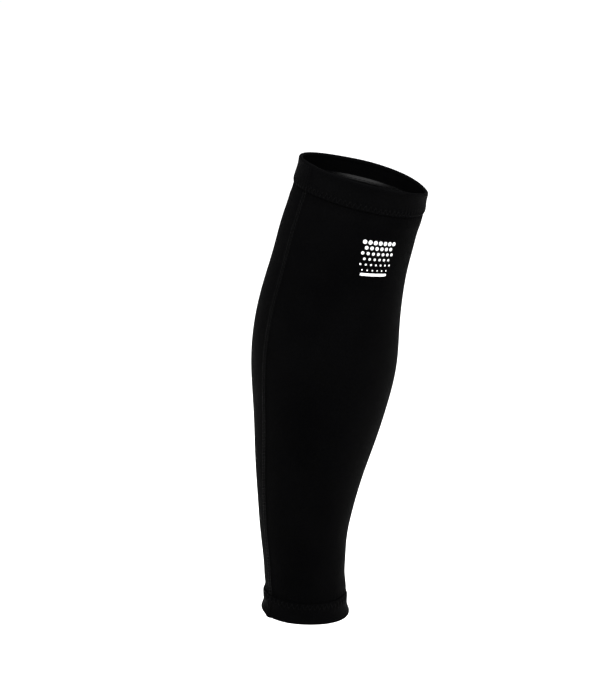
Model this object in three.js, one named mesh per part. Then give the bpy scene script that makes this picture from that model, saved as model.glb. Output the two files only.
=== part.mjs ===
// A calf compression sleeve for a right leg: a tube of knit that is narrow above the ankle and full over
// the calf, with a folded hem of two layers round each opening. It holds the shape that a leg gives it.
// Millimetres. +Z is up the leg, +Y is the shin and +X the outer side of the leg. The origin is the middle
// of the tube where the calf is fullest.

import * as THREE from 'three';

// The middle line of the leg, from the middle of the ankle rim to the middle of the knee rim.
const SLEEVE_HEIGHT = 368;
const KNEE_FORWARD = 59;
const ANKLE_LEAN = THREE.MathUtils.degToRad(5);
const KNEE_LEAN = THREE.MathUtils.degToRad(18);

// The outside of the knit, front to back (depth) and side to side (width).
const ANKLE_DEPTH = 67;
const ANKLE_WIDTH = 62;
const CALF_DEPTH = 117;
const CALF_WIDTH = 113.4;
const KNEE_DEPTH = 105.4;
const KNEE_WIDTH = 103.4;

// The knit and its hems. A hem stands proud of the knit's outer face and opens a little at its rim.
const KNIT_THICKNESS = 1.4;
const KNEE_HEM_HEIGHT = 20;
const ANKLE_HEM_HEIGHT = 18;
const HEM_PROUD = 1.0;
const KNEE_RIM_FLARE = 0.4;
const ANKLE_RIM_FLARE = 2.2;
const SEAM_GAP = 0.3;

// How finely the surface is cut.
const SIDES = 48;
const BODY_STEPS = 27;

const COLOURS = { knit: 0x0b0b0c, hem: 0x151517 };

const ANKLE = { depth: ANKLE_DEPTH, width: ANKLE_WIDTH };
const CALF = { depth: CALF_DEPTH, width: CALF_WIDTH };
const KNEE = { depth: KNEE_DEPTH, width: KNEE_WIDTH };

// Sections of the leg from the ankle rim (0) to the knee rim (1). Depth and width are shares of the girth
// that the row follows, and so are the section's shifts towards the shin and the outer side. Taper is how
// much narrower the section is at the shin than halfway back, as a share of its width.
const SECTIONS = [
  { along: 0.000, girth: ANKLE, depth: 1.010, width: 1.005, forward: 0.053, outward: 0.000, taper: 0.03 },
  { along: 0.050, girth: ANKLE, depth: 1.000, width: 0.997, forward: 0.029, outward: -0.002, taper: 0.035 },
  { along: 0.100, girth: ANKLE, depth: 0.995, width: 0.995, forward: -0.002, outward: -0.004, taper: 0.04 },
  { along: 0.200, girth: ANKLE, depth: 1.087, width: 1.092, forward: -0.057, outward: -0.008, taper: 0.05 },
  { along: 0.320, girth: CALF, depth: 0.741, width: 0.720, forward: -0.026, outward: -0.008, taper: 0.062 },
  { along: 0.450, girth: CALF, depth: 0.889, width: 0.876, forward: 0.002, outward: -0.013, taper: 0.075 },
  { along: 0.580, girth: CALF, depth: 1.000, width: 1.000, forward: -0.001, outward: -0.019, taper: 0.088 },
  { along: 0.680, girth: CALF, depth: 0.979, width: 0.983, forward: -0.022, outward: -0.015, taper: 0.08 },
  { along: 0.780, girth: CALF, depth: 0.924, width: 0.931, forward: -0.021, outward: -0.010, taper: 0.068 },
  { along: 0.870, girth: KNEE, depth: 1.009, width: 1.008, forward: -0.011, outward: -0.006, taper: 0.057 },
  { along: 0.935, girth: KNEE, depth: 1.000, width: 1.000, forward: 0.004, outward: -0.001, taper: 0.049 },
  { along: 1.000, girth: KNEE, depth: 0.982, width: 0.982, forward: 0.000, outward: 0.004, taper: 0.04 },
];
const FULLEST = SECTIONS.find((row) => row.girth === CALF && row.depth === 1);

// The outer face of a hem, from its stitched edge (0) to its rim (1) as shares of its height. Proud and
// flare are the shares of those two sizes by which it stands outside the knit.
const HEM_FACE = [
  { up: 0.00, proud: 0.45, flare: 0.00 },
  { up: 0.10, proud: 0.85, flare: 0.00 },
  { up: 0.28, proud: 1.00, flare: 0.00 },
  { up: 0.60, proud: 0.55, flare: 0.15 },
  { up: 0.85, proud: 0.30, flare: 0.70 },
  { up: 0.94, proud: 0.20, flare: 1.00 },
];
// The fold at the rim as a half turn from the outer layer to the inner one, in degrees.
const FOLD_TURNS = [36, 72, 108, 144];

// The middle line is a cubic curve whose handles are a third of the straight way between its ends.
function middleLine() {
  const ankle = new THREE.Vector3(0, 0, 0);
  const knee = new THREE.Vector3(0, KNEE_FORWARD, SLEEVE_HEIGHT);
  const handle = ankle.distanceTo(knee) / 3;
  const ankleHandle = new THREE.Vector3(0, Math.sin(ANKLE_LEAN), Math.cos(ANKLE_LEAN));
  const kneeHandle = new THREE.Vector3(0, Math.sin(KNEE_LEAN), Math.cos(KNEE_LEAN));
  ankleHandle.multiplyScalar(handle).add(ankle);
  kneeHandle.multiplyScalar(-handle).add(knee);
  return new THREE.CubicBezierCurve3(ankle, ankleHandle, kneeHandle, knee);
}

const MIDDLE = middleLine();
const LENGTH = MIDDLE.getLength();
const ORIGIN = MIDDLE.getPointAt(FULLEST.along);

// A smooth curve through the rows of the table gives the section at any share of the length.
function sectionCurve() {
  const shares = SECTIONS.map((row) => row.along);
  const sizes = SECTIONS.flatMap((row) => [
    row.girth.depth * row.depth / 2,
    row.girth.width * row.width / 2,
    row.girth.depth * row.forward,
    row.girth.width * row.outward,
    row.taper,
  ]);
  return new THREE.CubicInterpolant(shares, sizes, sizes.length / shares.length);
}

const SECTION = sectionCurve();

// A point of the sleeve: along is the way up the middle line from the ankle rim, out the distance outside
// the knit's outer face, and angle the turn round the leg from its outer side towards the shin.
function sleevePoint(along, out, angle) {
  const share = THREE.MathUtils.clamp(along / LENGTH, 0, 1);
  const [halfDepth, halfWidth, forward, outward, taper] = SECTION.evaluate(share);
  const tangent = MIDDLE.getTangentAt(share);
  const towardsShin = new THREE.Vector3(0, tangent.z, -tangent.y);
  const shinward = Math.sin(angle);
  const point = MIDDLE.getPointAt(share).sub(ORIGIN);
  point.x += outward + (halfWidth + out) * Math.cos(angle) * (1 - taper * shinward);
  return point.addScaledVector(towardsShin, forward + (halfDepth + out) * shinward);
}

// A solid that runs round the leg. Its profile is closed, and goes up the outer face and down the inner one.
function ringSolid(profile) {
  const positions = [];
  for (const { along, out } of profile) {
    for (let side = 0; side < SIDES; side += 1) {
      const point = sleevePoint(along, out, (side / SIDES) * 2 * Math.PI);
      positions.push(point.x, point.y, point.z);
    }
  }
  const faces = [];
  for (let row = 0; row < profile.length; row += 1) {
    const rowStart = row * SIDES;
    const nextStart = ((row + 1) % profile.length) * SIDES;
    for (let side = 0; side < SIDES; side += 1) {
      const nextSide = (side + 1) % SIDES;
      faces.push(rowStart + side, rowStart + nextSide, nextStart + nextSide);
      faces.push(rowStart + side, nextStart + nextSide, nextStart + side);
    }
  }
  const geometry = new THREE.BufferGeometry();
  geometry.setAttribute('position', new THREE.Float32BufferAttribute(positions, 3));
  geometry.setIndex(faces);
  geometry.computeVertexNormals();
  return geometry;
}

function bodyProfile() {
  const start = ANKLE_HEM_HEIGHT + SEAM_GAP;
  const end = LENGTH - KNEE_HEM_HEIGHT - SEAM_GAP;
  const outerFace = [];
  const innerFace = [];
  for (let step = 0; step <= BODY_STEPS; step += 1) {
    const along = THREE.MathUtils.lerp(start, end, step / BODY_STEPS);
    outerFace.push({ along, out: 0 });
    innerFace.unshift({ along, out: -KNIT_THICKNESS });
  }
  return [...outerFace, ...innerFace];
}

// A hem's profile as height above its stitched edge and distance out from the knit's outer face.
function hemProfile(height, rimFlare) {
  const thickness = 2 * KNIT_THICKNESS;
  const outerFace = HEM_FACE.map((row) => ({
    up: row.up * height,
    out: row.proud * HEM_PROUD + row.flare * rimFlare,
  }));
  const innerFace = outerFace.map(({ up, out }) => ({ up, out: out - thickness })).reverse();
  const rim = outerFace[outerFace.length - 1];
  const fold = FOLD_TURNS.map((degrees) => {
    const turn = THREE.MathUtils.degToRad(degrees);
    return {
      up: rim.up + (height - rim.up) * Math.sin(turn),
      out: rim.out - thickness / 2 * (1 - Math.cos(turn)),
    };
  });
  return [...outerFace, ...fold, ...innerFace];
}

function kneeHemProfile() {
  const edge = LENGTH - KNEE_HEM_HEIGHT;
  return hemProfile(KNEE_HEM_HEIGHT, KNEE_RIM_FLARE).map(({ up, out }) => ({ along: edge + up, out }));
}

// The ankle hem hangs down from its stitched edge, so its profile is turned over to keep its faces outward.
function ankleHemProfile() {
  const edge = ANKLE_HEM_HEIGHT;
  return hemProfile(ANKLE_HEM_HEIGHT, ANKLE_RIM_FLARE)
    .map(({ up, out }) => ({ along: edge - up, out }))
    .reverse();
}

function subPart(name, profile, colour) {
  const material = new THREE.MeshStandardMaterial({ color: colour, roughness: 0.92, metalness: 0 });
  const mesh = new THREE.Mesh(ringSolid(profile), material);
  mesh.name = name;
  return mesh;
}

const sleeve = new THREE.Group();
sleeve.name = 'calf_sleeve';
sleeve.add(subPart('sleeve_body', bodyProfile(), COLOURS.knit));
sleeve.add(subPart('knee_band', kneeHemProfile(), COLOURS.hem));
sleeve.add(subPart('ankle_band', ankleHemProfile(), COLOURS.hem));

export default sleeve;
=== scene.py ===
# %% [markdown]
# # A calf compression sleeve
#
# The frame holds three plain solids at their real size: a knitted tube that is narrow above the ankle and
# full over the calf, and a folded hem round each of its openings. This lesson makes what is seen: the knit
# with its flat seam down the back, the two hems with their cover stitches, and a small transfer print. Every
# shape is worked out with numpy on two parameters, the turn round the leg and the distance up it. The frame
# is measured first, so that each piece fits it.

# %% Load the frame
import math

import bpy
import numpy as np
from mathutils import Matrix, Vector


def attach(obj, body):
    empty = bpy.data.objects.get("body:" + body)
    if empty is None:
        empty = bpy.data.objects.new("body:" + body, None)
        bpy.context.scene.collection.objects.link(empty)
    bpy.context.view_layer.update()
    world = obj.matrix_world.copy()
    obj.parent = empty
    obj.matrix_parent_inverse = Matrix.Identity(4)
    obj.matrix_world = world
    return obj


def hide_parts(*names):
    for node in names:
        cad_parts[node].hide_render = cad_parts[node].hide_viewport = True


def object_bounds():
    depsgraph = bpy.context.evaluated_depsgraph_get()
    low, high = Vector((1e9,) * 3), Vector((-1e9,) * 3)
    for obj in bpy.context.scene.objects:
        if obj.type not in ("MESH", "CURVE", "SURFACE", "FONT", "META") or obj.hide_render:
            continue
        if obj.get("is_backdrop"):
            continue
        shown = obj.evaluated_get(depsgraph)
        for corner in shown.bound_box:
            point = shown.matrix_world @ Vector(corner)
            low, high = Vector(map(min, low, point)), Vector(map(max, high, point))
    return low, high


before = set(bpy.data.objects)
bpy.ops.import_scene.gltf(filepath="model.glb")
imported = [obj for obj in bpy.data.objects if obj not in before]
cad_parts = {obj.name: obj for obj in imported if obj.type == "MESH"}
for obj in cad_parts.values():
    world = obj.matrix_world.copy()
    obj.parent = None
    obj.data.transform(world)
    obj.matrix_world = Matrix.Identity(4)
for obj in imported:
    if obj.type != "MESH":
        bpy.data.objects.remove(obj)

MM = 0.001
FULL_TURN = 2 * math.pi

cad_low, cad_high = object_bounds()
cad_size = [round(side / MM, 1) for side in cad_high - cad_low]
print("the frame's box is", cad_size, "mm")

# %% [markdown]
# ## The middle line of the leg
#
# A sleeve has no straight axis, because a leg leans and curves. The two hems say how it runs at its ends:
# each is a short ring, and the direction in which its points spread least is the leg's direction there. A
# cubic Bezier curve joins the two rings. Blender could hold it as a curve object, but numpy keeps it as a
# table that every later surface can read at once.

# %% Measure the two hems
def corners_of(node):
    """The corners of a solid's triangles, as an array of triangles by three corners by x, y, z."""
    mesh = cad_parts[node].data
    mesh.calc_loop_triangles()
    points = np.empty(len(mesh.vertices) * 3)
    mesh.vertices.foreach_get("co", points)
    corners = np.empty(len(mesh.loop_triangles) * 3, dtype=np.int32)
    mesh.loop_triangles.foreach_get("vertices", corners)
    return points.reshape(-1, 3)[corners].reshape(-1, 3, 3)


def ring_of(node):
    """A hem's middle and its upward axis, the direction in which its corners spread least."""
    points = corners_of(node).reshape(-1, 3)
    middle = points.mean(axis=0)
    directions = np.linalg.eigh(np.cov((points - middle).T))[1]
    return middle, directions[:, 0] * np.sign(directions[2, 0])


ankle_middle, ankle_axis = ring_of("ankle_band")
knee_middle, knee_axis = ring_of("knee_band")
for label, axis in (("ankle", ankle_axis), ("knee", knee_axis)):
    print(label, "hem leans", round(math.degrees(math.acos(axis[2])), 1), "degrees")

# %% Join them with a curve
LINE_STEPS = 2000
RUN_ON = 60 * MM
RUN_ON_STEPS = 120
POINTS_A_BLOCK = 500
END_PARTS = 40


def bezier_table():
    """A table of the middle line. Each row is a distance above the ankle hem's middle, a point and a
    direction. The curve is (1-t)^3 A + 3(1-t)^2 t B + 3(1-t) t^2 C + t^3 D, where A and D are the hems'
    middles and B and C lie a third of the way between them on the hems' axes. It runs on straight past both
    ends, in short steps, so that the nearest point is found as closely there."""
    handle = np.linalg.norm(knee_middle - ankle_middle) / 3
    second, third = ankle_middle + ankle_axis * handle, knee_middle - knee_axis * handle
    t = np.linspace(0, 1, LINE_STEPS)[:, None]
    curve = (
        (1 - t) ** 3 * ankle_middle
        + 3 * (1 - t) ** 2 * t * second
        + 3 * (1 - t) * t**2 * third
        + t**3 * knee_middle
    )
    past = np.linspace(0, RUN_ON, RUN_ON_STEPS)[1:, None]
    points = np.vstack([ankle_middle - ankle_axis * past[::-1], curve, knee_middle + knee_axis * past])
    steps = np.linalg.norm(np.diff(points, axis=0), axis=1)
    distance = np.concatenate([[0], np.cumsum(steps)]) - RUN_ON
    direction = np.gradient(points, distance, axis=0)
    return distance, points, direction / np.linalg.norm(direction, axis=1, keepdims=True)


line_distance, line_points, line_directions = bezier_table()
ACROSS = np.array([1.0, 0.0, 0.0])


def read_line(along):
    """The middle line's point, its direction, and the direction towards the shin, at distances above the
    ankle hem's middle. The line lies in the plane of y and z, so the shin's direction is its own, turned by
    90 degrees."""
    point = np.stack([np.interp(along, line_distance, line_points[:, k]) for k in range(3)], axis=-1)
    upward = np.stack([np.interp(along, line_distance, line_directions[:, k]) for k in range(3)], axis=-1)
    return point, upward, np.cross(upward, ACROSS)


def tube_point(turn, along, radius):
    """The point at a turn round the leg, a distance up it and a radius: the middle line's point plus radius
    times (cos turn outward + sin turn shinward). Turn 0 is the leg's outer side, 90 degrees its shin."""
    turn, along, radius = np.broadcast_arrays(turn, along, radius)
    point, upward, shinward = read_line(along)
    outward = np.cos(turn)[..., None] * ACROSS + np.sin(turn)[..., None] * shinward
    return point + radius[..., None] * outward


def outward_at(turn, along):
    """The direction straight away from the middle line."""
    turn, along = np.broadcast_arrays(turn, along)
    shinward = read_line(along)[2]
    return np.cos(turn)[..., None] * ACROSS + np.sin(turn)[..., None] * shinward


def tube_place(points):
    """The turn, the distance along and the radius of points: each is measured from the middle line's nearest
    point, found in blocks so that the table of distances stays small."""
    nearest = np.concatenate([
        np.argmin(((block[:, None] - line_points) ** 2).sum(axis=2), axis=1)
        for block in np.array_split(points, len(points) // POINTS_A_BLOCK + 1)
    ])
    offset = points - line_points[nearest]
    upward = line_directions[nearest]
    rise = (offset * upward).sum(axis=1)
    offset = offset - rise[:, None] * upward
    shinward = np.cross(upward, ACROSS)
    turn = np.arctan2((offset * shinward).sum(axis=1), offset @ ACROSS)
    return turn, line_distance[nearest] + rise, np.linalg.norm(offset, axis=1)


def reach_of(node):
    """How far up the middle line a solid starts and ends: the mean of its lowest and of its highest
    corners, each one of END_PARTS equal parts of them."""
    along = np.sort(tube_place(np.unique(corners_of(node).reshape(-1, 3).round(7), axis=0))[1])
    few = len(along) // END_PARTS
    return along[:few].mean(), along[-few:].mean()


ANKLE_RIM, ANKLE_EDGE = reach_of("ankle_band")
KNEE_EDGE, KNEE_RIM = reach_of("knee_band")
SLEEVE_LENGTH = KNEE_RIM - ANKLE_RIM
print("the sleeve is", round(SLEEVE_LENGTH / MM, 1), "mm long on its middle line, with hems of",
      round((ANKLE_EDGE - ANKLE_RIM) / MM, 1), "and", round((KNEE_RIM - KNEE_EDGE) / MM, 1), "mm")

# %% [markdown]
# ## The walls
#
# The frame's walls are flat facets. To draw them smooth, the radius is fitted as a series: a few waves round
# the leg times a few Chebyshev polynomials along it. Least squares finds the series from the facets' corners,
# and it can then be read at any place. A subdivision surface would also smooth the facets, but it would
# shrink them, and it could not be asked for the radius under a stitch.

# %% Fit a smooth wall to a solid's outer or inner faces
WAVES = 6
BODY_BENDS = 16
HEM_BENDS = 5
LEAST_FACING = 0.8
PAST_ENDS = 0.02


def waves_round(turn, count):
    """1, then cos(k turn) and sin(k turn) for k from 1 to count, as the last axis."""
    steps = np.arange(1, count + 1)
    angles = turn[..., None] * steps
    return np.concatenate([np.ones(turn.shape + (1,)), np.cos(angles), np.sin(angles)], axis=-1)


def fit_wall(node, side, waves, bends):
    """A function of turn and along that gives the radius of a solid's outer (side 1) or inner (side -1) face,
    as waves round the leg times Chebyshev polynomials along it, fitted by least squares."""
    triangles = corners_of(node)
    normals = np.cross(triangles[:, 1] - triangles[:, 0], triangles[:, 2] - triangles[:, 0])
    normals /= np.linalg.norm(normals, axis=1, keepdims=True)
    turn, along, radius = tube_place(triangles.mean(axis=1))
    facing = (normals * outward_at(turn, along)).sum(axis=1) * side
    corners = np.unique(triangles[facing > LEAST_FACING].reshape(-1, 3).round(7), axis=0)
    turn, along, radius = tube_place(corners)
    low, high = along.min(), along.max()

    def rises(place):
        share = np.clip((place - low) / (high - low), -PAST_ENDS, 1 + PAST_ENDS)
        return np.polynomial.chebyshev.chebvander(2 * share - 1, bends)

    terms = waves_round(turn, waves)[:, :, None] * rises(along)[:, None, :]
    weights = np.linalg.lstsq(terms.reshape(len(turn), -1), radius, rcond=None)[0]
    weights = weights.reshape(2 * waves + 1, bends + 1)

    def radius_at(turn, along):
        turn, along = np.broadcast_arrays(np.asarray(turn, float), np.asarray(along, float))
        return ((waves_round(turn, waves) @ weights) * rises(along)).sum(axis=-1)

    worst = np.abs(radius_at(turn, along) - radius).max()
    print(node, "side", side, "from", round(low / MM, 1), "to", round(high / MM, 1), "mm, worst",
          round(worst / MM, 3))
    return radius_at


body_outside = fit_wall("sleeve_body", 1, WAVES, BODY_BENDS)
body_inside = fit_wall("sleeve_body", -1, WAVES, BODY_BENDS)
knee_outside = fit_wall("knee_band", 1, WAVES, HEM_BENDS)
knee_inside = fit_wall("knee_band", -1, WAVES, HEM_BENDS)
ankle_outside = fit_wall("ankle_band", 1, WAVES, HEM_BENDS)
ankle_inside = fit_wall("ankle_band", -1, WAVES, HEM_BENDS)

# %% [markdown]
# ## Small things that cloth does
#
# A real sleeve isn't a turned part. The knit wanders by a fraction of a millimetre, its closing seam stands
# a little proud down the back, and the stitches draw the hems in. Each of these is a small function of turn
# and along that is added to the radius, so the same value serves the cloth and the thread that lies on it.

# %% Slack, seam and stitch functions
SEAM_TURN = -math.pi / 2
SEAM_HALF_WIDTH = 2.5 * MM
SEAM_RISE = 0.38 * MM
SEAM_RISE_INSIDE = 0.6
SEAM_EDGE = 0.8 * MM
GROOVE = 0.45
GROOVE_WIDTH = 0.5 * MM
STITCH_PITCH = 4.0 * MM
STITCH_HALF_WIDTH = 2.0 * MM
STITCH_FROM_EDGE = 2.7 * MM
GIRTH_STEPS = 90
PUCKER = 0.16 * MM
PUCKER_FADE = 5 * MM
PINCH = 1.6
PINCH_WIDTH = 2.2 * MM
SLACK = 0.22 * MM
CLOTH_PROUD = 0.35 * MM

# Slow waves in the knit: how many times each goes round, how many times it goes up the sleeve, its share of
# the slack and where it starts.
SLACK_WAVES = (
    {"round": 2, "up": 1.3, "share": 0.40, "start": 0.4},
    {"round": 3, "up": -2.1, "share": 0.30, "start": 2.1},
    {"round": 5, "up": 3.4, "share": 0.18, "start": 4.0},
    {"round": 7, "up": -5.2, "share": 0.12, "start": 1.2},
)


def slack(turn, along):
    """The knit's wander: slow waves that run round and up the sleeve, added together."""
    height = along / SLEEVE_LENGTH * FULL_TURN
    return SLACK * sum(
        row["share"] * np.sin(row["round"] * turn + row["up"] * height + row["start"]) for row in SLACK_WAVES
    )


def from_seam(turn, radius):
    """The distance round the leg from the back seam's middle, on a circle of that radius."""
    return ((turn - SEAM_TURN + math.pi) % FULL_TURN - math.pi) * radius


def plateau(distance, half_width, edge):
    """1 within half_width of zero and 0 outside it, with a smooth step as wide as edge."""
    step = np.clip((half_width - np.abs(distance)) / edge + 0.5, 0, 1)
    return step * step * (3 - 2 * step)


def bell(distance, width):
    """exp of minus distance over width, squared."""
    return np.exp(-((distance / width) ** 2))


def seam_rise(turn, radius):
    """The flat seam's two layers, with a shallow groove where the cut edges meet."""
    distance = from_seam(turn, radius)
    return SEAM_RISE * (plateau(distance, SEAM_HALF_WIDTH, SEAM_EDGE) - GROOVE * bell(distance, GROOVE_WIDTH))


def stitches_round(edge):
    """A whole number of stitches round a hem's edge, so that the last meets the first: 2 pi times the mean
    radius there, over their pitch."""
    turns = np.linspace(0, FULL_TURN, GIRTH_STEPS)
    return round(FULL_TURN * body_outside(turns, edge).mean() / STITCH_PITCH)


KNEE_STITCHES = stitches_round(KNEE_EDGE)
ANKLE_STITCHES = stitches_round(ANKLE_EDGE)


def pucker(turn, distance, stitches):
    """The knit drawn in between stitches: a wave round the hem, once a stitch, that fades up and down from
    the stitches' line, and a pinch along the line itself."""
    wave = np.cos(stitches * turn) * bell(distance, PUCKER_FADE)
    return PUCKER * (wave - PINCH * bell(distance, PINCH_WIDTH))


print(KNEE_STITCHES, "stitches round the knee hem and", ANKLE_STITCHES, "round the ankle hem")

# %% [markdown]
# ## From numbers to meshes
#
# Cloth and long threads are grids of points that close on themselves at least one way, so one helper makes
# them. It also writes a UV map in which one unit is one knitted stitch or one stitch of thread. The map is
# per corner, so its last column can carry the full count where the first carries nought, and a pattern
# meets itself without a jump.

# %% Grids, tubes and small repeated pieces
UV_NAME = "stitch_map"
made_pieces = {}


def mesh_from(name, points, faces, corner_map, smooth=True):
    """A mesh object at the origin from points, faces and a UV pair for each face corner."""
    mesh = bpy.data.meshes.new(name)
    mesh.from_pydata(points.reshape(-1, 3), [], faces)
    layer = mesh.uv_layers.new(name=UV_NAME)
    layer.uv.foreach_set("vector", corner_map.astype(np.float32).ravel())
    if smooth:
        mesh.shade_smooth()
    else:
        mesh.shade_flat()
    piece = bpy.data.objects.new(name, mesh)
    bpy.context.scene.collection.objects.link(piece)
    made_pieces[name] = piece
    print(name, "has", sum(len(face) - 2 for face in faces), "triangles")
    return piece


def grid_faces(rows, columns, close_rows):
    """Four-cornered faces of a grid that closes round its columns, and round its rows too if close_rows.
    Their corners are given as row and column numbers that aren't wrapped, for the UV map."""
    row, column = np.meshgrid(np.arange(rows if close_rows else rows - 1), np.arange(columns), indexing="ij")
    row, column = row.ravel()[:, None], column.ravel()[:, None]
    corner_rows = row + np.array([0, 0, 1, 1])
    corner_columns = column + np.array([0, 1, 1, 0])
    return corner_rows, corner_columns


def tube_caps(rows, columns, start=0):
    """The two end faces of an open grid whose first point has the number start."""
    last = start + (rows - 1) * columns
    return [list(range(start, start + columns))[::-1], list(range(last, last + columns))]


def grid_mesh(name, points, row_map, column_map, close_rows=True):
    """A mesh from a grid of points (rows by columns), with its UV map read from one value for each row and
    one for each column, both with one more value than the grid where it closes. An open grid is a tube, and
    its two ends are capped."""
    rows, columns = points.shape[:2]
    corner_rows, corner_columns = grid_faces(rows, columns, close_rows)
    faces = (corner_rows % rows) * columns + corner_columns % columns
    corner_map = np.stack([column_map[corner_columns], row_map[corner_rows]], axis=-1)
    faces = faces.tolist()
    corner_map = corner_map.reshape(-1, 2)
    if not close_rows:
        faces += tube_caps(rows, columns)
        corner_map = np.vstack([corner_map, np.zeros((2 * columns, 2))])
    return mesh_from(name, points, faces, corner_map)


def thread_grid(path, lift_direction, radius, sides):
    """Circles carried along a path: each is radius times (cos a up + sin a sideways), where sideways is
    square to the path and to the direction that lifts the thread off the cloth."""
    along = np.gradient(path, axis=0)
    along /= np.linalg.norm(along, axis=1, keepdims=True)
    sideways = np.cross(along, lift_direction)
    sideways /= np.linalg.norm(sideways, axis=1, keepdims=True)
    up = np.cross(sideways, along)
    angle = np.linspace(0, FULL_TURN, sides, endpoint=False)[None, :, None]
    return path[:, None] + radius * (np.cos(angle) * up[:, None] + np.sin(angle) * sideways[:, None])


def bead_template(rings, sides):
    """A closed bead one unit long and wide, as points and faces: rings from pole to pole, where the radius is
    the square root of sin, so that its ends are blunt like a stitch's."""
    polar = np.linspace(0, math.pi, rings + 2)[1:-1, None]
    angle = np.linspace(0, FULL_TURN, sides, endpoint=False)[None, :]
    width = 0.5 * np.sqrt(np.sin(polar))
    length = -0.5 * np.cos(polar) * np.ones_like(angle)
    points = np.stack([length, width * np.cos(angle), width * np.sin(angle)], axis=-1).reshape(-1, 3)
    points = np.vstack([points, [[-0.5, 0, 0], [0.5, 0, 0]]])
    first_pole, last_pole = len(points) - 2, len(points) - 1
    faces = []
    for side in range(sides):
        following = (side + 1) % sides
        faces.append((first_pole, following, side))
        last_row = (rings - 1) * sides
        faces.append((last_pole, last_row + side, last_row + following))
        for ring in range(rings - 1):
            start, above = ring * sides, (ring + 1) * sides
            faces.append((start + side, start + following, above + following, above + side))
    return points, faces


def repeat_template(name, template, centres, length_axis, side_axis, top_axis):
    """Copies of a template, one at each centre, stretched along three axes that carry their own lengths."""
    points, faces = template
    placed = (
        centres[:, None]
        + points[None, :, :1] * length_axis[:, None]
        + points[None, :, 1:2] * side_axis[:, None]
        + points[None, :, 2:] * top_axis[:, None]
    )
    count = len(points)
    all_faces = [[corner + copy * count for corner in face] for copy in range(len(centres)) for face in faces]
    turns = np.arctan2(points[:, 2], points[:, 1]) / FULL_TURN
    bead_map = np.stack([turns, points[:, 0]], axis=-1)
    corner_map = np.concatenate([bead_map[list(face)] for face in faces])
    return mesh_from(name, placed, all_faces, np.tile(corner_map, (len(centres), 1)))


print("helpers for grids, threads and stitches are ready")

# %% [markdown]
# ## The knitted tube
#
# The tube is one closed surface: up the outside, over a cut edge, and down the inside. Both cut edges are
# tucked into the hems, as the real ones are. A Solidify modifier on a single wall would give the thickness
# too, but the frame's own inner wall is known, so both are used as they are.

# %% The body of the sleeve
BODY_COLUMNS = 320
BODY_ROWS_OUTSIDE = 206
BODY_ROWS_INSIDE = 52
TUCK = 1.6 * MM
WALES = 400
COURSE = 0.62 * MM
KNEE_DRAWN_IN = 0.8 * MM
ANKLE_DRAWN_IN = 0.5 * MM
DRAWN_IN_FROM_EDGE = 4.5 * MM
DRAWN_IN_WIDTH = 4.0 * MM


def drawn_in(along):
    """How far the tube is drawn in beside each hem, where the hem's double thickness ends: a bell a little
    way from its edge."""
    knee = KNEE_DRAWN_IN * bell(KNEE_EDGE - along - DRAWN_IN_FROM_EDGE, DRAWN_IN_WIDTH)
    ankle = ANKLE_DRAWN_IN * bell(along - ANKLE_EDGE - DRAWN_IN_FROM_EDGE, DRAWN_IN_WIDTH)
    return knee + ankle


def body_radius(turn, along):
    """The tube's outer radius: the measured wall, the knit's slack, the back seam, and how far the hems and
    their stitches draw it in."""
    radius = body_outside(turn, along) + CLOTH_PROUD
    return (
        radius
        + slack(turn, along)
        + seam_rise(turn, radius)
        + pucker(turn, along - ANKLE_EDGE, ANKLE_STITCHES)
        + pucker(turn, along - KNEE_EDGE, KNEE_STITCHES)
        - drawn_in(along)
    )


def body_lining(turn, along):
    """The tube's inner radius: the measured wall with the same slack, less the seam's turned edges."""
    radius = body_inside(turn, along)
    return radius + slack(turn, along) - SEAM_RISE_INSIDE * seam_rise(turn, radius) - drawn_in(along)


def make_body():
    """Rows go up the outer wall and down the inner one, and columns go round."""
    turn = np.linspace(0, FULL_TURN, BODY_COLUMNS, endpoint=False)[None, :]
    start, end = ANKLE_EDGE - TUCK, KNEE_EDGE + TUCK
    outside = np.linspace(start, end, BODY_ROWS_OUTSIDE)[:, None]
    inside = np.linspace(end, start, BODY_ROWS_INSIDE)[:, None]
    points = np.concatenate([
        tube_point(turn, outside, body_radius(turn, outside)),
        tube_point(turn, inside, body_lining(turn, inside)),
    ])
    row_map = np.concatenate([outside[:, 0], inside[:, 0], outside[:1, 0]]) / COURSE
    column_map = np.linspace(0, WALES, BODY_COLUMNS + 1)
    return grid_mesh("sleeve_knit", points, row_map, column_map)


sleeve_knit = make_body()

# %% [markdown]
# ## The folded hems
#
# A hem is the tube's own edge turned in and sewn down, so it is two layers thick with a round fold at the
# rim. Its section is a closed profile that is carried round the leg: the outer layer from the stitches to
# the rim, half a turn of fold, and the inner layer back down. The inner layer's free edge carries a smooth
# strip that grips the leg, and it rolls inwards. Inside the knee hem that strip catches the light.

# %% The walls of a hem
BASE_ROLL = 0.5 * MM
ROLL_TOP = 6.7 * MM
ROLL_ROUND = 4.2 * MM
RIM_SLACK = 0.12 * MM
SEAM_TAB_WIDTH = 3.5 * MM
KNEE_TAB = 0.3 * MM
ANKLE_TAB = 1.1 * MM
FOLD_START = 0.93
EDGE_START = 0.02
FOLD_ROLL_IN = 0.45 * MM
FOLD_ROLL_OUT = 0.18 * MM
FOLD_ROLL_DEPTH = 1.8 * MM
FOLD_ROLL_WIDTH = 1.3 * MM
REACH_SHIFT = 2
KNEE_SHIFT = 0.0
ANKLE_SHIFT = 1.7

# Slow waves of a hem that is held by nothing at its rim, as for the knit's slack.
RIM_WAVES = (
    {"round": 3, "share": 0.45, "start": 0.9},
    {"round": 5, "share": 0.35, "start": 2.6},
    {"round": 8, "share": 0.20, "start": 5.1},
)

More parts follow.
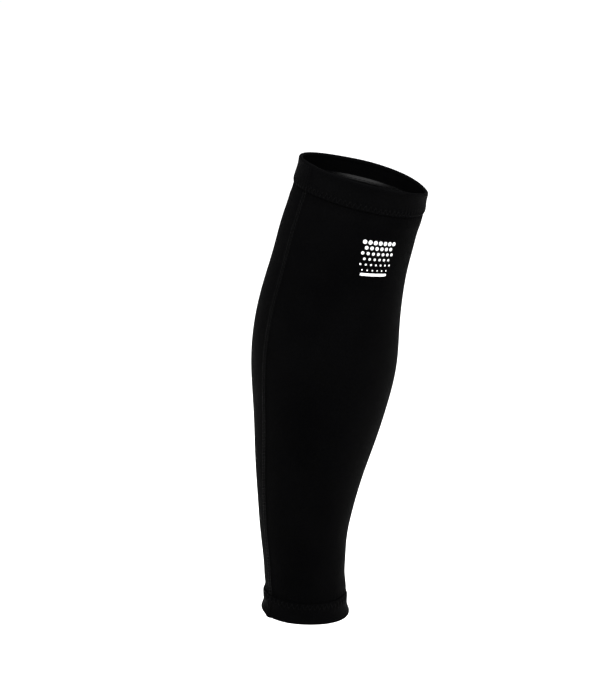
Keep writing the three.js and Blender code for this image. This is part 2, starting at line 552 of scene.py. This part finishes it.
# Where a rim leaves its plane, as the cloth does when nothing holds it: the turn and half width of each place
# in degrees, how far the rim reaches on past its plane there, how far it stands out, and how much more than
# elsewhere the inner layer's edge rolls in.
KNEE_RIM_PLACES = (
    {"turn": 62, "width": 42, "reach": -3.2 * MM, "flare": 0.0, "roll": 0.0},
    {"turn": 180, "width": 36, "reach": -0.8 * MM, "flare": 0.0, "roll": 0.0},
    {"turn": -124, "width": 30, "reach": 0.0, "flare": 1.2 * MM, "roll": 0.0},
    {"turn": 147, "width": 22, "reach": 0.2 * MM, "flare": 0.0, "roll": 2.0 * MM},
)
ANKLE_RIM_PLACES = (
    {"turn": -32, "width": 40, "reach": -1.0 * MM, "flare": 0.0, "roll": 0.0},
    {"turn": 50, "width": 30, "reach": 0.8 * MM, "flare": 0.3 * MM, "roll": 0.0},
    {"turn": -80, "width": 28, "reach": 0.6 * MM, "flare": 0.0, "roll": 0.0},
)


def rim_wave(turn, shift):
    """Slow waves round a rim, with a shift that makes each rim and direction different."""
    return RIM_SLACK * sum(
        row["share"] * np.sin(row["round"] * turn + row["start"] + shift) for row in RIM_WAVES
    )


def rim_places(turn, places, column):
    """One column of a rim's table, summed over its places, each faded by a bell over the turn between."""
    def between(degrees):
        return (turn - math.radians(degrees) + math.pi) % FULL_TURN - math.pi

    return sum(row[column] * bell(between(row["turn"]), math.radians(row["width"])) for row in places)


def hem_walls(rim, edge, outside, inside, stitches, tab, places, shift):
    """A hem's outer and inner radius, and its place along the leg, as functions of turn and share, the part
    of the way from the stitched edge (0) to the rim (1). Each radius is the measured face plus the knit's
    slack, the rim's own slack, which grows towards it, and the seam and stitches outside. Inside, the edge
    rolls in by a quarter sine wave, steepest at its top, where it leaves a crease."""
    height = abs(rim - edge)
    upward = np.sign(rim - edge)

    def loose(turn, share):
        flare = rim_wave(turn, shift) + rim_places(turn, places, "flare")
        return CLOTH_PROUD + slack(turn, edge) + share**2 * flare

    def fold_roll(share):
        return bell((1 - share) * height - FOLD_ROLL_DEPTH, FOLD_ROLL_WIDTH)

    def along(turn, share):
        reach = rim_wave(turn, shift + REACH_SHIFT) + rim_places(turn, places, "reach")
        seam_end = tab * bell(from_seam(turn, outside(turn, rim)), SEAM_TAB_WIDTH) * share**4
        return edge + upward * (share * (height + reach) + seam_end)

    def outer(turn, share):
        radius = outside(turn, edge + upward * share * height)
        stitched = pucker(turn, share * height - STITCH_FROM_EDGE, stitches)
        fold = FOLD_ROLL_OUT * fold_roll(share)
        return radius + loose(turn, share) + seam_rise(turn, radius) + stitched + fold

    def inner(turn, share):
        from_edge = share * height
        t = np.clip((ROLL_TOP - from_edge) / ROLL_ROUND, 0, 1)
        back = np.clip(from_edge / (ROLL_TOP - ROLL_ROUND), 0, 1)
        rolled = (BASE_ROLL + rim_places(turn, places, "roll")) * np.sin(t * math.pi / 2) * np.sqrt(back)
        radius = inside(turn, edge + upward * share * height)
        return radius + loose(turn, share) - rolled - FOLD_ROLL_IN * fold_roll(share)

    return {
        "height": height, "upward": upward, "stitches": stitches,
        "along": along, "outer": outer, "inner": inner,
    }


knee_walls = hem_walls(
    KNEE_RIM, KNEE_EDGE, knee_outside, knee_inside, KNEE_STITCHES, KNEE_TAB, KNEE_RIM_PLACES, KNEE_SHIFT
)
ankle_walls = hem_walls(
    ANKLE_RIM, ANKLE_EDGE, ankle_outside, ankle_inside, ANKLE_STITCHES, ANKLE_TAB, ANKLE_RIM_PLACES, ANKLE_SHIFT
)

# %% Both hems
HEM_ROWS = {"outer": 40, "fold": 10, "inner": 48, "cut": 4}
KNEE_COLUMNS = 620
ANKLE_COLUMNS = 420
CUT_BULGE = 0.03


def make_hem(name, walls, columns):
    """Rows follow the closed profile. The fold swings from the outer to the inner radius, (outer + inner) / 2
    + (outer - inner) / 2 cos a, while the share goes on to 1 as sin a, and the cut edge rounds off as sin
    does. The inner layer's rows on the strip take the second material."""
    turn = np.linspace(0, FULL_TURN, columns, endpoint=False)[None, :]
    up = np.linspace(0, FOLD_START, HEM_ROWS["outer"])[:, None]
    down = np.linspace(FOLD_START, EDGE_START, HEM_ROWS["inner"])[:, None]
    half_turn = np.linspace(0, math.pi, HEM_ROWS["fold"] + 2)[1:-1, None]
    cut = np.linspace(0, 1, HEM_ROWS["cut"] + 2)[1:-1, None]
    outer_rim, inner_rim = walls["outer"](turn, FOLD_START), walls["inner"](turn, FOLD_START)
    fold_radius = (outer_rim + inner_rim) / 2 + (outer_rim - inner_rim) / 2 * np.cos(half_turn)
    fold_share = FOLD_START + (1 - FOLD_START) * np.sin(half_turn)
    cut_radius = walls["inner"](turn, EDGE_START) * (1 - cut) + walls["outer"](turn, 0.0) * cut
    cut_share = EDGE_START * (1 - cut) - CUT_BULGE * np.sin(cut * math.pi)
    shares = [up, fold_share, down, cut_share]
    radii = [walls["outer"](turn, up), fold_radius, walls["inner"](turn, down), cut_radius]
    points = np.concatenate([
        tube_point(turn, walls["along"](turn, share), radius) for share, radius in zip(shares, radii)
    ])
    from_edge = np.concatenate(shares)[:, 0] * walls["height"]
    layer_row = np.arange(len(from_edge)) - HEM_ROWS["outer"] - HEM_ROWS["fold"]
    strip = (from_edge <= ROLL_TOP) & (layer_row >= 0) & (layer_row < HEM_ROWS["inner"])
    row_map = from_edge / COURSE
    if walls["upward"] < 0:
        points, row_map, strip = points[::-1], row_map[::-1], strip[::-1]
    hem = grid_mesh(name, points, np.append(row_map, row_map[0]), np.linspace(0, WALES, columns + 1))
    strip_faces = strip & np.roll(strip, -1)
    hem.data.polygons.foreach_set("material_index", np.repeat(strip_faces, columns).astype(np.int32))
    return hem


knee_hem = make_hem("knee_hem", knee_walls, KNEE_COLUMNS)
ankle_hem = make_hem("ankle_hem", ankle_walls, ANKLE_COLUMNS)

# %% [markdown]
# ## Threads
#
# The hems are closed with a zigzag that can stretch as far as the knit does, and the back seam is flat: its
# two cut edges lie side by side under a net of cover thread, with a row of needle stitches on either side.
# Each zigzag is one thread carried along a formula, which is what a curve object with a bevel would draw.
# A row of needle stitches is one small bead, copied a stitch at a time.

# %% Threads that lie on the cloth
THREAD = 0.36 * MM
THREAD_SIDES = 6
STEPS_A_STITCH = 12
LIFT = 0.12 * MM
DIP = 0.20 * MM


def zigzag(place):
    """A wave from -1 to 1 that is nearly straight between rounded turns: the arcsine of a little less than a
    sine, over its own greatest value. One full wave for each whole number of place."""
    rounding = 0.96
    return np.arcsin(rounding * np.sin(FULL_TURN * place)) / math.asin(rounding)


def lifted(radius, swing):
    """The radius of a thread's middle: a little over the cloth, and lower at each turn, where it goes in."""
    return radius + LIFT - DIP * swing**6


def hem_zigzag(name, walls):
    """A closed thread round a hem, at a share of (the stitches' middle + half their width times a zigzag of
    the turn) over the hem's height."""
    turn = np.linspace(0, FULL_TURN, walls["stitches"] * STEPS_A_STITCH, endpoint=False)
    swing = zigzag(turn / FULL_TURN * walls["stitches"])
    share = (STITCH_FROM_EDGE + STITCH_HALF_WIDTH * swing) / walls["height"]
    along = walls["along"](turn, share)
    path = tube_point(turn, along, lifted(walls["outer"](turn, share), swing))
    points = thread_grid(path, outward_at(turn, along), THREAD / 2, THREAD_SIDES)
    twists = np.arange(len(turn) + 1) / STEPS_A_STITCH
    return grid_mesh(name, points, twists, np.linspace(0, 1, THREAD_SIDES + 1))


SEAM_PITCH = 3.0 * MM
SEAM_STITCHES = round((KNEE_EDGE - ANKLE_EDGE) / SEAM_PITCH)
SEAM_THREAD_HALF_WIDTH = 2.3 * MM
COVER_RUN_ON = 1 * MM
NEEDLE_ROW_START = 0.5 * MM
NEEDLE_ROW_FROM_MIDDLE = 1.45 * MM


def seam_zigzag(name, side):
    """A cover thread of the back seam, outside (side 1) or inside (side -1): a zigzag across the seam,
    from one hem's edge to the other's."""
    along = np.linspace(ANKLE_EDGE - COVER_RUN_ON, KNEE_EDGE + COVER_RUN_ON, SEAM_STITCHES * STEPS_A_STITCH)
    swing = zigzag(np.linspace(0, SEAM_STITCHES, len(along)))
    turn = SEAM_TURN + SEAM_THREAD_HALF_WIDTH * swing / body_outside(SEAM_TURN, along)
    cloth = body_radius(turn, along) if side > 0 else body_lining(turn, along)
    path = tube_point(turn, along, cloth + side * lifted(0, swing))
    points = thread_grid(path, outward_at(turn, along), THREAD / 2, THREAD_SIDES)
    twists = np.arange(len(along)) / STEPS_A_STITCH
    return grid_mesh(name, points, twists, np.linspace(0, 1, THREAD_SIDES + 1), close_rows=False)


STITCH_BEAD = bead_template(rings=3, sides=6)
BEAD_WIDTH = 0.40 * MM
BEAD_HEIGHT = 0.26 * MM
BEAD_LIFT = 0.10 * MM
BEAD_GAP = 0.18
INSIDE_UPPER = STITCH_FROM_EDGE + 1.7 * MM
INSIDE_LOWER = STITCH_FROM_EDGE - 1.1 * MM


def stitch_row(name, starts, ends, lift_direction):
    """A bead from each start to each end, shorter than the way between them, and flattened on the cloth."""
    way = ends - starts
    side = np.cross(lift_direction, way)
    side /= np.linalg.norm(side, axis=1, keepdims=True)
    top = np.cross(way, side)
    top /= np.linalg.norm(top, axis=1, keepdims=True)
    centres, length = (starts + ends) / 2, way * (1 - BEAD_GAP)
    return repeat_template(name, STITCH_BEAD, centres, length, side * BEAD_WIDTH, top * BEAD_HEIGHT)


def seam_row(name, side):
    """A row of needle stitches down one side of the back seam."""
    along = np.linspace(ANKLE_EDGE + NEEDLE_ROW_START, KNEE_EDGE - NEEDLE_ROW_START, SEAM_STITCHES + 1)
    turn = SEAM_TURN + side * NEEDLE_ROW_FROM_MIDDLE / body_outside(SEAM_TURN, along)
    path = tube_point(turn, along, body_radius(turn, along) + BEAD_LIFT)
    return stitch_row(name, path[:-1], path[1:], outward_at(turn, along)[:-1])


def hem_inside_row(name, walls, from_edge):
    """A row of the zigzag's other thread, seen inside the hem as short bars along the leg's turn."""
    turn = np.linspace(0, FULL_TURN, walls["stitches"] + 1)
    share = np.full_like(turn, from_edge / walls["height"])
    along = walls["along"](turn, share)
    path = tube_point(turn, along, walls["inner"](turn, share) - BEAD_LIFT)
    return stitch_row(name, path[:-1], path[1:], outward_at(turn, along)[:-1])


threads = [
    hem_zigzag("knee_zigzag", knee_walls),
    hem_zigzag("ankle_zigzag", ankle_walls),
    seam_zigzag("seam_cover_thread", 1),
    seam_zigzag("seam_inside_thread", -1),
    seam_row("seam_row_inner", 1),
    seam_row("seam_row_outer", -1),
    hem_inside_row("knee_inside_upper", knee_walls, INSIDE_UPPER),
    hem_inside_row("knee_inside_lower", knee_walls, INSIDE_LOWER),
    hem_inside_row("ankle_inside_upper", ankle_walls, INSIDE_UPPER),
    hem_inside_row("ankle_inside_lower", ankle_walls, INSIDE_LOWER),
]

# %% [markdown]
# ## The transfer print
#
# A small mark is pressed on the outer side of the calf with heat: a thin film of white ink, so it follows the
# knit and has almost no thickness of its own. Its shape here is a plain pattern, dots that shrink down the
# leg over a bar. A mask in the knit's colour could draw it as well, but a film has an edge that takes light.

# %% Dots and a bar that follow the cloth
PRINT_TURN = math.radians(-8.5)
PRINT_BELOW_RIM = 54 * MM
DOT_PITCH = 4.4 * MM
DOT_COLUMNS = 7
DOT_ROWS = 6
LARGEST_DOT = 3.2 * MM
SMALLEST_DOT = 1.1 * MM
BAR_BELOW_DOTS = 14.5 * MM
BAR_LENGTH = 24 * MM
BAR_HEIGHT = 2.0 * MM
FILM = 0.12 * MM
CAP_STATIONS = 9
STATION_STEP = 1.2 * MM
THINNEST = 0.02 * MM
SECTION_UP = np.array([-1.0, 0.0, 1.0, 1.0, 0.9, 0.0, -0.9, -1.0])
SECTION_RISE = np.array([-1.0, -1.0, -1.0, 0.5, 1.0, 1.0, 1.0, 0.5])


def patch_grid(across, up, half_length, half_height):
    """One patch of film as a tube of sections: two half circles, apart by the straight way between them.
    A section at angle a from an end is h sin a high, h cos a from its circle's middle. Each is a flat loop of
    base, edge and a top drawn in a little, in distances on the cloth, so that the film bends with it."""
    angle = np.linspace(0, math.pi / 2, CAP_STATIONS)
    straight = half_length - half_height
    between = np.linspace(-straight, straight, math.ceil(2 * straight / STATION_STEP) + 1)[1:-1]
    end = straight + half_height * np.cos(angle)
    first = 0 if straight else 1
    stations = np.concatenate([-end, between, end[::-1][first:]])
    rise = half_height * np.sin(angle) + THINNEST
    half = np.concatenate([rise, np.full(len(between), half_height + THINNEST), rise[::-1][first:]])
    along = KNEE_RIM - PRINT_BELOW_RIM + up + half[:, None] * SECTION_UP
    turn = PRINT_TURN + (across + stations[:, None]) / body_outside(PRINT_TURN, along)
    points = tube_point(turn, along, body_radius(turn, along) + SECTION_RISE * FILM)
    return points, np.stack([turn / FULL_TURN * WALES, along / COURSE], axis=-1)


def print_patches():
    """The dots, row by row, every other row moved by half a pitch, and then the bar."""
    patches = []
    for row in range(DOT_ROWS):
        half = (LARGEST_DOT + (SMALLEST_DOT - LARGEST_DOT) * row / (DOT_ROWS - 1)) / 2
        count = DOT_COLUMNS - row % 2
        up = ((DOT_ROWS - 1) / 2 - row) * DOT_PITCH
        patches += [patch_grid((k - (count - 1) / 2) * DOT_PITCH, up, half, half) for k in range(count)]
    return patches + [patch_grid(0.0, -BAR_BELOW_DOTS, BAR_LENGTH / 2, BAR_HEIGHT / 2)]


def make_print():
    """All patches as one mesh of closed tubes, with the knit's own stitch map, so that its loops show."""
    patches = print_patches()
    faces, start = [], 0
    for points, _ in patches:
        rows, columns = points.shape[:2]
        corner_rows, corner_columns = grid_faces(rows, columns, close_rows=False)
        faces += (start + corner_rows * columns + corner_columns % columns).tolist()
        faces += tube_caps(rows, columns, start)
        start += rows * columns
    points = np.concatenate([points.reshape(-1, 3) for points, _ in patches])
    film_map = np.concatenate([patch_map.reshape(-1, 2) for _, patch_map in patches])
    return mesh_from("outer_print", points, faces, film_map[np.concatenate(faces)], smooth=False)


outer_print = make_print()

# %% [markdown]
# ## Finishes
#
# The knit is nylon and elastane dyed black through. It gives back about one part in a thousand of the light,
# with a faint sheen at a glancing angle, where the yarn's sides are seen. The loops are drawn as height from
# the stitch map, and lint and wear as a slow change of tone and roughness. The sewing thread is a little
# shinier than the knit, and the film is a matt white.

# %% Node helpers
def new_group(name, inputs, outputs):
    """A shader node group with its sockets, given as pairs of name and kind. Returns it and its two ends."""
    group = bpy.data.node_groups.new(name, "ShaderNodeTree")
    for socket, kind in inputs:
        group.interface.new_socket(name=socket, in_out="INPUT", socket_type=kind)
    for socket, kind in outputs:
        group.interface.new_socket(name=socket, in_out="OUTPUT", socket_type=kind)
    return group, group.nodes.new("NodeGroupInput"), group.nodes.new("NodeGroupOutput")


def put(tree, target, value):
    """Sets a socket's value, or links it where the value is another socket."""
    if isinstance(value, bpy.types.NodeSocket):
        tree.links.new(value, target)
    else:
        target.default_value = value


def math_node(tree, operation, *values):
    """A Math node of that operation, with its inputs set or linked; its result."""
    node = tree.nodes.new("ShaderNodeMath")
    node.operation = operation
    for target, value in zip(node.inputs, values):
        put(tree, target, value)
    return node.outputs[0]


def range_node(tree, value, low, high, new_low, new_high):
    """A Map Range node that clamps; its result."""
    node = tree.nodes.new("ShaderNodeMapRange")
    for target, number in zip(node.inputs[:5], (value, low, high, new_low, new_high)):
        put(tree, target, number)
    return node.outputs[0]


def noise_node(tree, scale, detail):
    """A Noise Texture in object coordinates, where one unit is a metre; its factor."""
    node = tree.nodes.new("ShaderNodeTexNoise")
    node.inputs["Scale"].default_value = scale
    node.inputs["Detail"].default_value = detail
    tree.links.new(tree.nodes.new("ShaderNodeTexCoord").outputs["Object"], node.inputs["Vector"])
    return node.outputs[0]


def mixed_colour(tree, factor, first, second):
    """A colour between two, by factor."""
    node = tree.nodes.new("ShaderNodeMix")
    node.data_type = "RGBA"
    put(tree, node.inputs[0], factor)
    put(tree, node.inputs[6], first)
    put(tree, node.inputs[7], second)
    return node.outputs[2]


# %% Shared effects as node groups
LOOP_SLANT = 0.9
TWISTS_A_STITCH = 3.0


def height_group(name):
    """A group that makes a height of a map. Returns it, the map's parts and its output."""
    group, start, end = new_group(name, [("Map", "NodeSocketVector")], [("Height", "NodeSocketFloat")])
    parts = group.nodes.new("ShaderNodeSeparateXYZ")
    group.links.new(start.outputs["Map"], parts.inputs[0])
    return group, parts, end


def knit_loops():
    """Height of a jersey knit from the stitch map. Each unit square holds one loop, a V of two yarns: with x
    from -0.5 to 0.5 across it, height = |sin pi (v + slant |x|)| lowered to nought at the wale's sides by
    sqrt(cos pi x)."""
    group, parts, end = height_group("knit_loops")
    x = math_node(group, "SUBTRACT", math_node(group, "FRACT", parts.outputs[0]), 0.5)
    reach = math_node(group, "MULTIPLY", math_node(group, "ABSOLUTE", x), LOOP_SLANT)
    leg = math_node(group, "MULTIPLY", math_node(group, "ADD", parts.outputs[1], reach), math.pi)
    yarn = math_node(group, "ABSOLUTE", math_node(group, "SINE", leg))
    across = math_node(group, "MULTIPLY", x, math.pi)
    side = math_node(group, "POWER", math_node(group, "COSINE", across), 0.5)
    group.links.new(math_node(group, "MULTIPLY", yarn, side), end.inputs["Height"])
    return group


def thread_twist():
    """Height of a two-ply thread from its map: a wave that winds round it a few times in each stitch."""
    group, parts, end = height_group("thread_twist")
    twists = math_node(group, "MULTIPLY", parts.outputs[1], TWISTS_A_STITCH)
    winding = math_node(group, "ADD", twists, parts.outputs[0])
    wave = math_node(group, "SINE", math_node(group, "MULTIPLY", winding, FULL_TURN))
    group.links.new(math_node(group, "MULTIPLY_ADD", wave, 0.5, 0.5), end.inputs["Height"])
    return group


# The masks of wear: the noise's scale in a metre and its detail, and the noise that gives 0 and 1.
WEAR_MASKS = (
    {"name": "Tone", "scale": 18, "detail": 4, "low": 0.35, "high": 0.65},
    {"name": "Lint", "scale": 1700, "detail": 1, "low": 0.74, "high": 0.80},
)


def cloth_wear():
    """Two masks: a slow change of tone over the cloth, and fine specks of lint."""
    group, _, end = new_group("cloth_wear", [], [(row["name"], "NodeSocketFloat") for row in WEAR_MASKS])
    for row in WEAR_MASKS:
        noise = noise_node(group, row["scale"], row["detail"])
        group.links.new(range_node(group, noise, row["low"], row["high"], 0.0, 1.0), end.inputs[row["name"]])
    return group


KNIT_LOOPS = knit_loops()
THREAD_TWIST = thread_twist()
CLOTH_WEAR = cloth_wear()
print("node groups:", ", ".join(group.name for group in bpy.data.node_groups))

# %% Materials
BLACK = (0.0007, 0.0007, 0.0008, 1)
WORN_BLACK = (0.0012, 0.0012, 0.0013, 1)
LINT = (0.0045, 0.0045, 0.0048, 1)
THREAD_BLACK = (0.0012, 0.0012, 0.0013, 1)
WORN_THREAD = (0.0019, 0.0019, 0.0020, 1)
PRINT_WHITE = (0.84, 0.85, 0.85, 1)
THIN_PRINT = (0.74, 0.75, 0.75, 1)
SHEEN_ROUGHNESS = 0.35
FRESH_SMOOTHER = 0.06
WORN_ROUGHER = 0.04
LOOP_BUMP = 0.8
TWIST_DEPTH = 0.06 * MM
TWIST_BUMP = 0.7
PRINT_ROUGHNESS = (0.50, 0.62)
PRINT_LOOP_DEPTH = 0.05 * MM
PRINT_LOOP_BUMP = 0.6


def use_group(tree, group):
    """A node that holds a group."""
    node = tree.nodes.new("ShaderNodeGroup")
    node.node_tree = group
    return node


def new_material(name, settings):
    """A material with its Principled shader, whose constant inputs are set from a table."""
    material = bpy.data.materials.new(name)
    material.use_nodes = True
    shader = material.node_tree.nodes["Principled BSDF"]
    for socket, value in settings.items():
        shader.inputs[socket].default_value = value
    return material, material.node_tree, shader


def add_bump(tree, shader, height, distance, strength):
    """A Bump node from a height to the shader's normal."""
    bump = tree.nodes.new("ShaderNodeBump")
    bump.inputs["Distance"].default_value = distance
    bump.inputs["Strength"].default_value = strength
    tree.links.new(height, bump.inputs["Height"])
    tree.links.new(bump.outputs["Normal"], shader.inputs["Normal"])


def stitch_map(tree):
    """The piece's own map, in stitches."""
    node = tree.nodes.new("ShaderNodeUVMap")
    node.uv_map = UV_NAME
    return node.outputs["UV"]


def knit_material(name, roughness, sheen, specular, loop_depth):
    """Black knit: tone and lint in the colour, tone in the roughness, loops in the normal."""
    material, tree, shader = new_material(name, {
        "Specular IOR Level": specular, "Sheen Weight": sheen, "Sheen Roughness": SHEEN_ROUGHNESS,
    })
    wear = use_group(tree, CLOTH_WEAR)
    toned = mixed_colour(tree, wear.outputs["Tone"], BLACK, WORN_BLACK)
    tree.links.new(mixed_colour(tree, wear.outputs["Lint"], toned, LINT), shader.inputs["Base Color"])
    fresh, worn = roughness - FRESH_SMOOTHER, roughness + WORN_ROUGHER
    rough = range_node(tree, wear.outputs["Tone"], 0.0, 1.0, fresh, worn)
    tree.links.new(rough, shader.inputs["Roughness"])
    loops = use_group(tree, KNIT_LOOPS)
    tree.links.new(stitch_map(tree), loops.inputs["Map"])
    add_bump(tree, shader, loops.outputs["Height"], loop_depth, LOOP_BUMP)
    return material


def thread_material():
    """Black sewing thread, twisted, and a little worn where the cloth is."""
    material, tree, shader = new_material("sewing_thread", {
        "Roughness": 0.45, "Specular IOR Level": 0.022, "Sheen Weight": 0.0011,
    })
    wear = use_group(tree, CLOTH_WEAR)
    toned = mixed_colour(tree, wear.outputs["Tone"], THREAD_BLACK, WORN_THREAD)
    tree.links.new(toned, shader.inputs["Base Color"])
    twist = use_group(tree, THREAD_TWIST)
    tree.links.new(stitch_map(tree), twist.inputs["Map"])
    add_bump(tree, shader, twist.outputs["Height"], TWIST_DEPTH, TWIST_BUMP)
    return material


def print_material():
    """Matt white film: thinner in places, where the black cloth greys it, and the loops press through it."""
    material, tree, shader = new_material("print_film", {"Specular IOR Level": 0.3})
    wear = use_group(tree, CLOTH_WEAR)
    toned = mixed_colour(tree, wear.outputs["Tone"], PRINT_WHITE, THIN_PRINT)
    tree.links.new(toned, shader.inputs["Base Color"])
    rough = range_node(tree, wear.outputs["Tone"], 0.0, 1.0, *PRINT_ROUGHNESS)
    tree.links.new(rough, shader.inputs["Roughness"])
    loops = use_group(tree, KNIT_LOOPS)
    tree.links.new(stitch_map(tree), loops.inputs["Map"])
    add_bump(tree, shader, loops.outputs["Height"], PRINT_LOOP_DEPTH, PRINT_LOOP_BUMP)
    return material


knit = knit_material("black_knit", roughness=0.68, sheen=0.0006, specular=0.003, loop_depth=0.25 * MM)
hem_knit = knit_material("black_hem", roughness=0.62, sheen=0.0007, specular=0.004, loop_depth=0.25 * MM)
grip_strip = knit_material("grip_strip", roughness=0.30, sheen=0.0006, specular=0.052, loop_depth=0.06 * MM)
thread = thread_material()
film = print_material()
for piece, finishes in (
    (sleeve_knit, [knit]),
    (knee_hem, [hem_knit, grip_strip]),
    (ankle_hem, [hem_knit, grip_strip]),
    (outer_print, [film]),
    *((piece, [thread]) for piece in threads),
):
    for finish in finishes:
        piece.data.materials.append(finish)
print("materials:", ", ".join(material.name for material in bpy.data.materials))

# %% [markdown]
# ## Each piece to the frame
#
# Nothing on a sleeve moves by itself, so every piece rides on the one body. Cut flat, the knitted tube is a
# panel about 300 mm wide at the calf and 335 mm long, tapered to the ankle.

# %% Ride on the body and hide the frame's solids
for piece in made_pieces.values():
    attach(piece, "root")
for piece, node in ((sleeve_knit, "sleeve_body"), (knee_hem, "knee_band"), (ankle_hem, "ankle_band")):
    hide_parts(node)

# %% [markdown]
# ## Camera and light
#
# The camera stands where the photograph's did: a long lens, well above the outer back of the leg. The room
# is a white one. A large soft light hangs overhead, and narrow ones at the sides draw the edges of the black
# cloth, which shows its shape by nothing else.

# %% Camera at the photograph's angle
PICTURE_WIDTH = 600
PICTURE_HEIGHT = 700
AZIMUTH = math.radians(58)
ELEVATION = math.radians(23)
DISTANCE = 3100 * MM
FOCAL_PIXELS = 3875
SENSOR = 36
MIDDLE_PIXEL_X = 334.9
MIDDLE_PIXEL_Y = 394.6


def camera_place():
    """The camera stands off the middle between the rims, by its distance backwards and by as much sideways
    and upwards as brings that middle to its pixel. Returns its place and its right, up and backward axes."""
    sideways = Vector((math.sin(AZIMUTH), -math.cos(AZIMUTH), 0))
    back = sideways * math.cos(ELEVATION) + Vector((0, 0, math.sin(ELEVATION)))
    right = Vector((math.cos(AZIMUTH), math.sin(AZIMUTH), 0))
    up = back.cross(right)
    middle = Vector((read_line(ANKLE_RIM)[0] + read_line(KNEE_RIM)[0]) / 2)
    pixel = DISTANCE / FOCAL_PIXELS
    place = middle + back * DISTANCE
    place -= right * (MIDDLE_PIXEL_X - PICTURE_WIDTH / 2) * pixel
    place += up * (MIDDLE_PIXEL_Y - PICTURE_HEIGHT / 2) * pixel
    return place, right, up, back


place, right, up, back = camera_place()
camera_data = bpy.data.cameras.new("camera")
camera_data.sensor_width = SENSOR
camera_data.lens = FOCAL_PIXELS / max(PICTURE_WIDTH, PICTURE_HEIGHT) * SENSOR
camera_data.clip_end = 100
camera = bpy.data.objects.new("camera", camera_data)
camera.matrix_world = Matrix.Translation(place) @ Matrix((right, up, back)).transposed().to_4x4()
bpy.context.scene.collection.objects.link(camera)
bpy.context.scene.camera = camera
print("the camera is at", [round(value / MM) for value in place], "mm")

# %% Floor, room and lights
FLOOR_BELOW = 260 * MM
FLOOR_SIDE = 12
FLOOR_FINISH = {"Base Color": (0.94, 0.94, 0.94, 1), "Roughness": 0.9}
ROOM_TO_CAMERA = 1.0
ROOM_LIGHT = 0.40

# Each light: its turn and elevation round the sleeve, its distance, its sides and its power in watts.
LIGHTS = (
    {"name": "overhead", "azimuth": 80, "elevation": 72, "distance": 2.2, "sides": (2.6, 2.6), "power": 210},
    {"name": "left_edge", "azimuth": -40, "elevation": 28, "distance": 1.7, "sides": (0.5, 1.6), "power": 20},
    {"name": "right_edge", "azimuth": 160, "elevation": 20, "distance": 1.9, "sides": (0.4, 1.6), "power": 14},
)


def direction_of(azimuth, elevation):
    """The direction from the sleeve to a light, by its azimuth and elevation in degrees, as the camera's."""
    azimuth, elevation = math.radians(azimuth), math.radians(elevation)
    flat = Vector((math.sin(azimuth), -math.cos(azimuth), 0)) * math.cos(elevation)
    return flat + Vector((0, 0, math.sin(elevation)))


def add_light(row):
    """One soft rectangular light that faces the sleeve."""
    data = bpy.data.lights.new(row["name"], "AREA")
    data.shape = "RECTANGLE"
    data.size, data.size_y = row["sides"]
    data.energy = row["power"]
    light = bpy.data.objects.new(row["name"], data)
    direction = direction_of(row["azimuth"], row["elevation"])
    turned = direction.to_track_quat("Z", "Y").to_matrix().to_4x4()
    light.matrix_world = Matrix.Translation(direction * row["distance"]) @ turned
    bpy.context.scene.collection.objects.link(light)


def add_floor():
    """A plain white floor some way below the sleeve, which isn't part of it."""
    half = FLOOR_SIDE / 2
    bottom = cad_low.z - FLOOR_BELOW
    corners = [(-half, -half, bottom), (half, -half, bottom), (half, half, bottom), (-half, half, bottom)]
    mesh = bpy.data.meshes.new("floor")
    mesh.from_pydata(corners, [], [(0, 1, 2, 3)])
    floor = bpy.data.objects.new("floor", mesh)
    bpy.context.scene.collection.objects.link(floor)
    mesh.materials.append(new_material("floor_white", FLOOR_FINISH)[0])
    floor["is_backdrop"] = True


def set_room():
    """A white room: full white to the camera, dimmer as a source of light."""
    world = bpy.data.worlds.new("room")
    world.use_nodes = True
    tree = world.node_tree
    tree.nodes.clear()
    background = tree.nodes.new("ShaderNodeBackground")
    rays = tree.nodes.new("ShaderNodeLightPath")
    seen = range_node(tree, rays.outputs["Is Camera Ray"], 0.0, 1.0, ROOM_LIGHT, ROOM_TO_CAMERA)
    tree.links.new(seen, background.inputs["Strength"])
    tree.links.new(background.outputs[0], tree.nodes.new("ShaderNodeOutputWorld").inputs["Surface"])
    bpy.context.scene.world = world


for row in LIGHTS:
    add_light(row)
add_floor()
set_room()
bpy.context.scene.view_settings.view_transform = "Standard"
bpy.context.scene.view_settings.look = "None"
print("lights:", ", ".join(row["name"] for row in LIGHTS))

# %% Print the bounds of the frame and of the visual
visual_low, visual_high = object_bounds()
for label, low, high in (("frame", cad_low, cad_high), ("visual", visual_low, visual_high)):
    print(label, [round(value / MM, 2) for value in low], "to", [round(value / MM, 2) for value in high])
